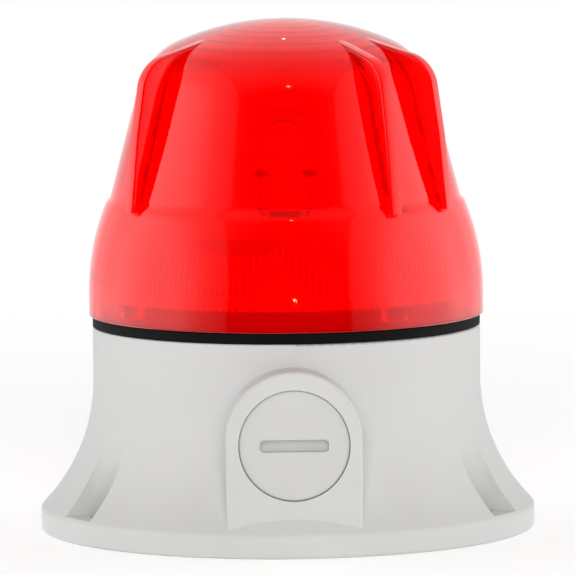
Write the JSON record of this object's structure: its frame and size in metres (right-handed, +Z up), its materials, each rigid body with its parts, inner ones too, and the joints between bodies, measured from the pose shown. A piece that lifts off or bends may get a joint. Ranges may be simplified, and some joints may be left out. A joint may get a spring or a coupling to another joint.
{
  "type": "horn strobe",
  "caption": "Surface-mounting strobe beacon: flared grey base with screw pockets and plugged side cable entry, red bayonet lens with grip fins, xenon tube and small sounder inside.",
  "frame": {"origin": "centre of the mounting face, on the beacon's axis", "axes": "+Z up the axis to the top of the lens; the cable entry faces -Y"},
  "size_m": [0.098, 0.098, 0.101],
  "materials": {
    "housing_grey": "satin light grey moulded plastic, fine spark texture",
    "plug_grey": "satin light grey moulded plastic",
    "seal_rubber": "matt black rubber",
    "lens_red": "clear red polycarbonate, polished outside, ribbed inside",
    "board_green": "green solder mask on glass-epoxy board",
    "zinc_steel": "bright zinc plate",
    "tube_glass": "clear glass",
    "holder_white": "white moulded nylon",
    "tinned_wire": "tinned wire",
    "coil_black": "black moulded resin",
    "ferrite": "dark grey ferrite",
    "winding_tape": "yellow winding tape",
    "can_aluminium": "drawn aluminium",
    "sleeve_dark": "dark shrink sleeve",
    "film_case_red": "dipped red film capacitor",
    "resistor_beige": "lacquered resistor body",
    "terminal_green": "green moulded nylon",
    "disc_brass": "brass disc",
    "switch_red": "red moulded plastic",
    "trimmer_blue": "blue moulded plastic"
  },
  "bodies": {
    "base": {"base_housing": "housing_grey", "lens_seal": "seal_rubber", "circuit_board": "board_green", "board_screws": "zinc_steel", "flash_tube": "tube_glass", "tube_holder": "holder_white", "tube_electrodes": "tinned_wire", "trigger_wire": "tinned_wire", "trigger_coil": "coil_black", "inverter_core": "ferrite", "inverter_winding": "winding_tape", "storage_capacitor": "can_aluminium", "capacitor_sleeve": "sleeve_dark", "trigger_capacitor": "film_case_red", "resistors": "resistor_beige", "diodes": "coil_black", "bridge_rectifier": "coil_black", "controller_chip": "coil_black", "terminal_block": "terminal_green", "terminal_screws": "zinc_steel", "sounder_case": "coil_black", "sounder_disc": "disc_brass", "sounder_base": "coil_black", "mode_switch": "switch_red", "volume_trimmer": "trimmer_blue"},
    "lens": {"lens_dome": "lens_red"},
    "plug_carrier": {"plug_seal": "seal_rubber"},
    "plug": {"cable_entry_plug": "plug_grey"},
    "mode_slider_1": {"mode_slider_1": "holder_white"},
    "mode_slider_2": {"mode_slider_2": "holder_white"},
    "volume_rotor": {"volume_rotor": "holder_white"}
  },
  "joints": [
    {"name": "lens_turn", "type": "hinge", "parent": "base", "child": "lens", "pos_m": [0, 0, 0.0426], "axis": [0, 0, 1], "range_deg": [0, 20]},
    {"name": "plug_draw", "type": "slide", "parent": "base", "child": "plug_carrier", "axis": [0, -1, 0], "range_m": [0, 0.00706]},
    {"name": "plug_turn", "type": "hinge", "parent": "plug_carrier", "child": "plug", "pos_m": [0, -0.0464, 0.0216], "axis": [0, -1, 0], "range_deg": [0, 1800]},
    {"name": "mode_1", "type": "slide", "parent": "base", "child": "mode_slider_1", "axis": [-1, 0, 0], "range_m": [0, 0.0019]},
    {"name": "mode_2", "type": "slide", "parent": "base", "child": "mode_slider_2", "axis": [-1, 0, 0], "range_m": [0, 0.0019]},
    {"name": "volume_turn", "type": "hinge", "parent": "base", "child": "volume_rotor", "pos_m": [0.0145, 0.011, 0.0504], "axis": [0, 0, 1], "range_deg": [-135, 135]}
  ],
  "couplings": [
    {"joint": "plug_draw", "follows": "plug_turn", "m_per_rad": 0.00022441}
  ]
}
